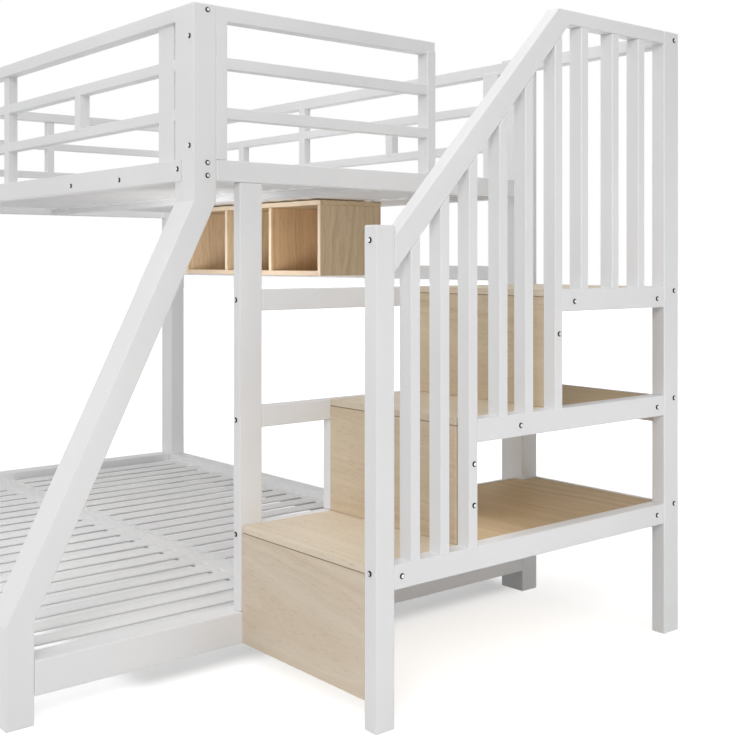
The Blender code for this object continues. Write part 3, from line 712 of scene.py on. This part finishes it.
# The upper part of a leg stands in front of the end rail, a joint's gap away.
LEG_DEPTH = 0.055
JOINT_GAP = 0.0003
bed_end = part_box("front_leg_right")[1].x
far_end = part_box("front_leg_left")[0].x
bed_middle = (bed_end + far_end) / 2
leg_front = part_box("upper_end_rail_right")[0].y - (LEG_DEPTH + JOINT_GAP)
rail_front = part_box("upper_side_rail_front")[0].y
side_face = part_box("stair_side_low")[1].x
upright_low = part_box("end_upright")[0]
front_post_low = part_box("stair_front_post")[0]
back_post_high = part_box("stair_back_post")[1]

# Heights are above the floor. The bolts were read from the photo, so they don't all sit in the
# middle of what they hold.
LEG_BOLT_FROM_END = 0.017
LEG_BOLT_FROM_FRONT = 0.0335
LEG_FRONT_HEIGHTS = (1.3454, 1.1164)
LEG_SIDE_HEIGHTS = (1.4017, 1.081, 1.054)
UPRIGHT_BOLT_FROM_INSIDE = 0.010
UPRIGHT_HEIGHTS = (0.7906, 0.5322, 0.2863)
FRONT_POST_BOLT_FROM_INSIDE = 0.017
FRONT_POST_HEIGHTS = (0.9134, 0.2946)
BACK_POST_BOLT_FROM_BACK = 0.0172
BACK_POST_HEIGHTS = (1.3956, 0.8046, 0.5512, 0.3017)
# Distance from the bed's middle, and height
UPPER_RAIL_BOLTS = ((0.3888, 1.060), (0.6484, 1.0605), (0.917, 1.0695))
# Place along Y, and height
SIDE_RAIL_BOLTS = (
    (-0.1429, 0.283),
    (0.6360, 0.283),
    (0.1786, 0.5355),
    (0.6360, 0.5345),
    (0.3461, 0.7875),
    (0.6360, 0.787),
)
BALUSTER_BOLTS = ((0.2975, 0.7191), (0.0458, 0.471), (0.0458, 0.3889))
BALUSTER_SETBACK = 0.0005

on_legs = (bed_end - LEG_BOLT_FROM_END, far_end + LEG_BOLT_FROM_END)
behind_front = leg_front + LEG_BOLT_FROM_FRONT
add_bolts(
    "leg_bolts",
    [((x, leg_front - SEAT, z), FRONT) for x in on_legs for z in LEG_FRONT_HEIGHTS]
    + [((bed_end + SEAT, behind_front, z), STAIR_SIDE) for z in LEG_SIDE_HEIGHTS]
    + [((far_end - SEAT, behind_front, z), FAR_SIDE) for z in LEG_SIDE_HEIGHTS],
)
add_bolts(
    "upper_rail_bolts",
    [
        ((bed_middle + half * distance, rail_front - SEAT, z), FRONT)
        for half in (1, -1)
        for distance, z in UPPER_RAIL_BOLTS
    ],
)
add_bolts(
    "stair_upright_bolts",
    [
        ((upright_low.x + UPRIGHT_BOLT_FROM_INSIDE, upright_low.y - SEAT, z), FRONT)
        for z in UPRIGHT_HEIGHTS
    ],
)
add_bolts(
    "stair_post_bolts",
    [
        ((front_post_low.x + FRONT_POST_BOLT_FROM_INSIDE, front_post_low.y - SEAT, z), FRONT)
        for z in FRONT_POST_HEIGHTS
    ]
    + [
        ((side_face + SEAT, back_post_high.y - BACK_POST_BOLT_FROM_BACK, z), STAIR_SIDE)
        for z in BACK_POST_HEIGHTS
    ],
)
add_bolts(
    "stair_side_bolts",
    [((side_face + SEAT, y, z), STAIR_SIDE) for y, z in SIDE_RAIL_BOLTS]
    + [((side_face - BALUSTER_SETBACK + SEAT, y, z), STAIR_SIDE) for y, z in BALUSTER_BOLTS],
)


# Floor and surrounding light

FLOOR_SIZE = 60.0
FLOOR_DROP = 0.0005
# Tone of the floor in the light that it throws back at the bed
FLOOR_RETURN = "#DCDCDC"
# Glow that lifts the floor to white for the eye round the bed, and a lower glow below its lower
# deck, which is a painted shadow
FLOOR_GLOW = 0.60
DECK_SHADOW_GLOW = 0.30
# Distances from the floor's middle between which it runs out into the background
FADE_START = 1.4
FADE_END = 3.4
# How far the painted shadow below the lower deck stays behind the bed's front, and how soft its
# edge is
SHADE_SETBACK = 0.26
SHADE_EDGE = 0.08
# Strength of the light from all round, and of that from behind the bed
WORLD_LIGHT = 0.46
WORLD_BEHIND = 0.22


def seen_or_mirrored(tree, ray):
    """1 for what the camera sees, straight or in a reflection, and 0 for the light on the bed."""
    return add_node(
        tree,
        "ShaderNodeMath",
        {0: ray.outputs["Is Camera Ray"], 1: ray.outputs["Is Glossy Ray"]},
        operation="MAXIMUM",
    ).outputs[0]


def painted_deck_shadow(tree, place):
    """Painted shadow: 1 on the floor below the lower deck, but for a strip along its front, and 0
    elsewhere.
    """
    spot = add_node(tree, "ShaderNodeSeparateXYZ", {0: place})
    front_edge = cad_low.y + SHADE_SETBACK
    inside = 1.0
    for axis, start, full in (
        ("X", far_end, far_end + SHADE_EDGE),
        ("X", bed_end, bed_end - SHADE_EDGE),
        ("Y", front_edge, front_edge + SHADE_EDGE),
        ("Y", cad_high.y, cad_high.y - SHADE_EDGE),
    ):
        ramp = add_node(
            tree,
            "ShaderNodeMapRange",
            {"Value": spot.outputs[axis], "From Min": start, "From Max": full},
            interpolation_type="SMOOTHSTEP",
        )
        product = add_node(
            tree, "ShaderNodeMath", {0: ramp.outputs[0], 1: inside}, operation="MULTIPLY"
        )
        inside = product.outputs[0]
    return inside


def studio_floor():
    """A pale floor: white to the eye and in reflections, duller in the light that it returns."""
    material, tree = new_material("studio_floor_matt_white")
    ray = add_node(tree, "ShaderNodeLightPath")
    place = add_node(tree, "ShaderNodeTexCoord").outputs["Object"]
    paper = add_node(tree, "ShaderNodeTexNoise", {"Vector": place, "Scale": 3.0, "Detail": 2.0})
    tone = add_node(tree, "ShaderNodeValToRGB", {"Fac": paper.outputs[0]})
    set_ramp(tone, ((0.3, "#FDFDFD"), (0.7, "#FFFFFF")))
    matt = add_node(tree, "ShaderNodeBsdfDiffuse", {"Color": tone.outputs[0]})
    # Away from the bed the floor runs out into the white background.
    away = add_node(tree, "ShaderNodeVectorMath", {0: place}, operation="LENGTH")
    fade = add_node(
        tree,
        "ShaderNodeMapRange",
        {
            "Value": away.outputs["Value"],
            "From Min": FADE_START,
            "From Max": FADE_END,
            "To Min": FLOOR_GLOW,
            "To Max": 1.0,
        },
        interpolation_type="SMOOTHSTEP",
    )
    # Below the lower deck the glow drops to a painted shadow, which shows between the slats.
    strength = add_node(
        tree,
        "ShaderNodeMapRange",
        {
            "Value": painted_deck_shadow(tree, place),
            "To Min": fade.outputs[0],
            "To Max": DECK_SHADOW_GLOW,
        },
    )
    glow = add_node(
        tree, "ShaderNodeEmission", {"Color": (1, 1, 1, 1), "Strength": strength.outputs[0]}
    )
    bright = add_node(tree, "ShaderNodeAddShader", {0: matt.outputs[0], 1: glow.outputs[0]})
    dull = add_node(tree, "ShaderNodeBsdfDiffuse", {"Color": srgb(FLOOR_RETURN)})
    both = add_node(
        tree,
        "ShaderNodeMixShader",
        {0: seen_or_mirrored(tree, ray), 1: dull.outputs[0], 2: bright.outputs[0]},
    )
    add_node(tree, "ShaderNodeOutputMaterial", {"Surface": both.outputs[0]})
    return material


def studio_world():
    """White to the eye, in reflections and through glass, with softer light for the bed itself."""
    world = bpy.data.worlds.new("studio_white")
    world.use_nodes = True
    tree = world.node_tree
    tree.nodes.clear()
    ray = add_node(tree, "ShaderNodeLightPath")
    white = add_node(
        tree,
        "ShaderNodeMath",
        {0: seen_or_mirrored(tree, ray), 1: ray.outputs["Is Transmission Ray"]},
        operation="MAXIMUM",
    )
    # Less light comes from behind the bed.
    direction = add_node(tree, "ShaderNodeTexCoord").outputs["Generated"]
    heading = add_node(tree, "ShaderNodeSeparateXYZ", {0: direction})
    around = add_node(
        tree,
        "ShaderNodeMapRange",
        {
            "Value": heading.outputs["Y"],
            "From Min": -0.1,
            "From Max": 0.7,
            "To Min": WORLD_LIGHT,
            "To Max": WORLD_BEHIND,
        },
        interpolation_type="SMOOTHSTEP",
    )
    level = add_node(
        tree,
        "ShaderNodeMapRange",
        {"Value": white.outputs[0], "To Min": around.outputs[0], "To Max": 1.0},
    )
    sky = add_node(
        tree, "ShaderNodeBackground", {"Color": (1, 1, 1, 1), "Strength": level.outputs[0]}
    )
    add_node(tree, "ShaderNodeOutputWorld", {"Surface": sky.outputs[0]})
    return world


floor_shape = bmesh.new()
bmesh.ops.create_grid(floor_shape, x_segments=1, y_segments=1, size=FLOOR_SIZE / 2)
bmesh.ops.translate(floor_shape, verts=floor_shape.verts, vec=(0, 0, -FLOOR_DROP))
floor_mesh = bpy.data.meshes.new("studio_floor")
floor_shape.to_mesh(floor_mesh)
floor_shape.free()
floor_mesh.materials.append(studio_floor())
floor = bpy.data.objects.new("studio_floor", floor_mesh)
bpy.context.scene.collection.objects.link(floor)
bpy.context.scene.world = studio_world()


# Lamps


def softbox(name, place, aim, size, power, spread=180):
    """A square lamp that isn't seen itself, aimed at a point.

    power is in watts and spread is the angle of its light in degrees.
    """
    lamp = bpy.data.lights.new(name, "AREA")
    lamp.shape = "SQUARE"
    lamp.size = size
    lamp.energy = power
    lamp.spread = math.radians(spread)
    holder = bpy.data.objects.new(name, lamp)
    holder.location = place
    holder.rotation_euler = (Vector(aim) - Vector(place)).to_track_quat("-Z", "Y").to_euler()
    holder.visible_camera = False
    bpy.context.scene.collection.objects.link(holder)


# Round the bed: from above, at the stair's side, and two from the front
softbox("lamp_overhead", (0.6, -0.6, 4.2), (0.4, 0, 0.7), 3.0, 42)
softbox("lamp_stair_side", (2.9, 0.5, 0.5), (1.2, 0.3, 0.35), 0.9, 6.5)
softbox("lamp_front_left", (-2.6, -3.8, 1.6), (0.4, 0, 0.8), 2.4, 22)
softbox("lamp_front_corner", (3.9, -2.9, 2.8), (0.9, 0, 0.8), 2.0, 66)
# Below the upper deck, into the bays of the shelf
softbox("lamp_under_deck", (0.10, -0.05, 0.72), (-0.45, 0.57, 0.95), 0.25, 0.26, 80)
softbox("lamp_shelf_right", (0.35, -0.20, 0.68), (-0.35, 0.6, 0.95), 0.3, 0.8, 90)
# Onto the lower deck, which the upper one shades, and into the low storage level
softbox("lamp_lower_deck", (-0.3, -0.05, 0.97), (-0.3, 0.0, 0.1), 0.9, 1.2)
softbox("lamp_storage", (0.98, 0.12, 0.52), (1.10, 0.06, 0.30), 0.10, 0.17, 120)


# Camera. The photo is a level view, and its two vanishing points give the lens, turn and shift.
# Lens and sensor are in millimetres and the turn is in degrees.

LENS = 55.45
SENSOR_WIDTH = 36.0
SHIFT_RIGHT = -0.0611
SHIFT_UP = -0.1452
CAMERA_PLACE = (2.8301, -1.5205, 0.8743)
CAMERA_TURN = 49.11

view = bpy.data.cameras.new("photo_view")
view.lens = LENS
view.sensor_width = SENSOR_WIDTH
view.sensor_fit = "HORIZONTAL"
view.shift_x = SHIFT_RIGHT
view.shift_y = SHIFT_UP
view.clip_start = 0.05
view.clip_end = 100.0
camera = bpy.data.objects.new("photo_view", view)
camera.location = CAMERA_PLACE
camera.rotation_euler = (math.radians(90), 0, math.radians(CAMERA_TURN))
bpy.context.scene.collection.objects.link(camera)
bpy.context.scene.camera = camera
bpy.context.scene.view_settings.view_transform = "Standard"
